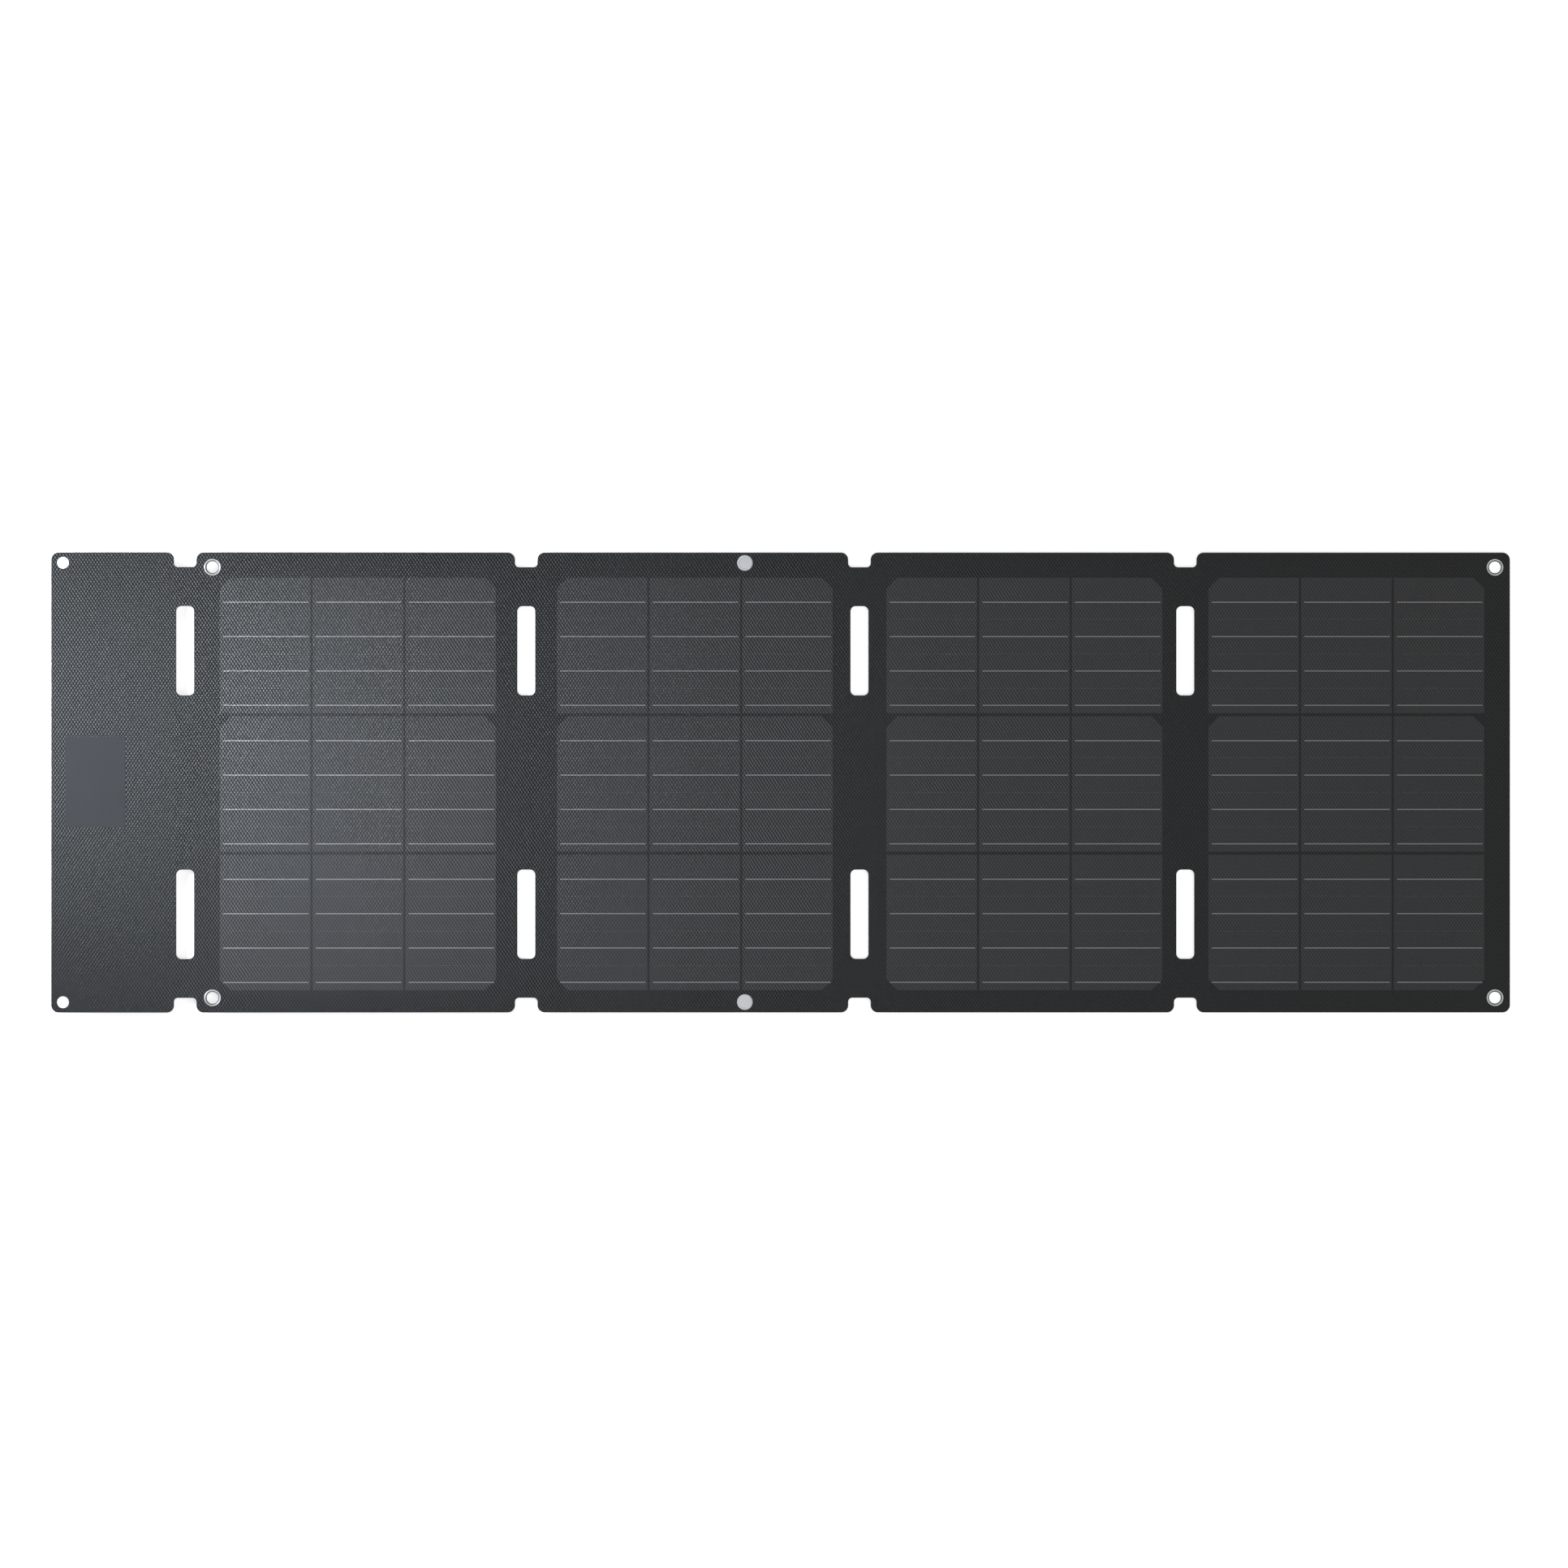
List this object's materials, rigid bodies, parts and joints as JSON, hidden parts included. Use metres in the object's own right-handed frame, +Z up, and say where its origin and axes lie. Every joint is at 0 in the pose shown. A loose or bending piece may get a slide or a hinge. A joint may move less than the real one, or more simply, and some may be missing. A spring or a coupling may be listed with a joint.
{
  "type": "folding solar panel",
  "caption": "Long folding strip of stiff solar sheets with a narrow flap, slotted fabric folds, corner eyelets and a slim output box behind the flap.",
  "frame": {"origin": "on the floor, below the middle of the open strip", "axes": "+X along the strip from the flap to the far section, +Y across it, +Z up from the cell side"},
  "size_m": [0.9764, 0.308, 0.0102],
  "materials": {
    "front_film": "embossed dark laminate, satin",
    "rear_fabric": "dense woven polyester, coated",
    "glass_fibre": "glass-fibre laminate",
    "encapsulant": "clear cured sheet",
    "silicon": "dark textured wafer",
    "tinned_ribbon": "tinned copper ribbon",
    "copper": "flat tinned copper strip",
    "plated_metal": "nickel plated, satin",
    "steel": "stainless, satin",
    "label": "smooth matt plate",
    "box_plastic": "fine-grained moulded plastic",
    "rubber": "soft matt rubber",
    "circuit_board": "solder-masked laminate",
    "electronics": "moulded component",
    "light_pipe": "frosted light pipe"
  },
  "bodies": {
    "section_1": {"board_1": "glass_fibre", "bus_bars_1": "copper", "cells_1": "silicon", "encapsulant_1": "encapsulant", "fold_leads_12": "copper", "fold_leads_f": "copper", "fold_web_12": "front_film", "fold_web_f": "front_film", "front_film_1": "front_film", "grommet_washers_1": "plated_metal", "grommets_1": "plated_metal", "rear_cover_1": "rear_fabric", "ribbons_1": "tinned_ribbon"},
    "section_2": {"board_2": "glass_fibre", "bus_bars_2": "copper", "cells_2": "silicon", "encapsulant_2": "encapsulant", "fold_leads_23": "copper", "fold_web_23": "front_film", "front_film_2": "front_film", "rear_cover_2": "rear_fabric", "ribbons_2": "tinned_ribbon", "snap_caps": "plated_metal", "snap_studs": "plated_metal"},
    "section_3": {"board_3": "glass_fibre", "bus_bars_3": "copper", "cells_3": "silicon", "encapsulant_3": "encapsulant", "fold_leads_34": "copper", "fold_web_34": "front_film", "front_film_3": "front_film", "rear_cover_3": "rear_fabric", "ribbons_3": "tinned_ribbon"},
    "section_4": {"board_4": "glass_fibre", "bus_bars_4": "copper", "cells_4": "silicon", "encapsulant_4": "encapsulant", "front_film_4": "front_film", "grommet_washers_4": "plated_metal", "grommets_4": "plated_metal", "rear_cover_4": "rear_fabric", "ribbons_4": "tinned_ribbon"},
    "flap": {"blank_label": "label", "box_gasket": "rubber", "box_screws": "steel", "circuit_board": "circuit_board", "cover_pin": "steel", "flap_board": "glass_fibre", "front_film_flap": "front_film", "inductor": "electronics", "junction_box_base": "box_plastic", "junction_box_cover": "box_plastic", "output_leads": "copper", "rear_cover_flap": "rear_fabric", "regulator_chip": "electronics", "status_light": "light_pipe", "usb_c_port_1": "steel", "usb_c_port_2": "steel"},
    "port_door": {"port_cover": "rubber"}
  },
  "joints": [
    {"name": "fold_12", "type": "hinge", "parent": "section_1", "child": "section_2", "pos_m": [-0.17042, 0, 0.01031], "axis": [0, -1, 0], "range_deg": [0, 178.74]},
    {"name": "fold_23", "type": "hinge", "parent": "section_2", "child": "section_3", "pos_m": [0.05262, 0, 0.00825], "axis": [0, -1, 0], "range_deg": [0, 179.9]},
    {"name": "fold_34", "type": "hinge", "parent": "section_3", "child": "section_4", "pos_m": [0.27082, 0, 0.006], "axis": [0, -1, 0], "range_deg": [0, 179.9]},
    {"name": "fold_flap", "type": "hinge", "parent": "section_1", "child": "flap", "pos_m": [-0.39849, 0, 0.01717], "axis": [0, 1, 0], "range_deg": [0, 179.9]},
    {"name": "port_cover_hinge", "type": "hinge", "parent": "flap", "child": "port_door", "pos_m": [-0.47452, -0.019, 0.0031], "axis": [0, 0, 1], "range_deg": [0, 110]}
  ]
}
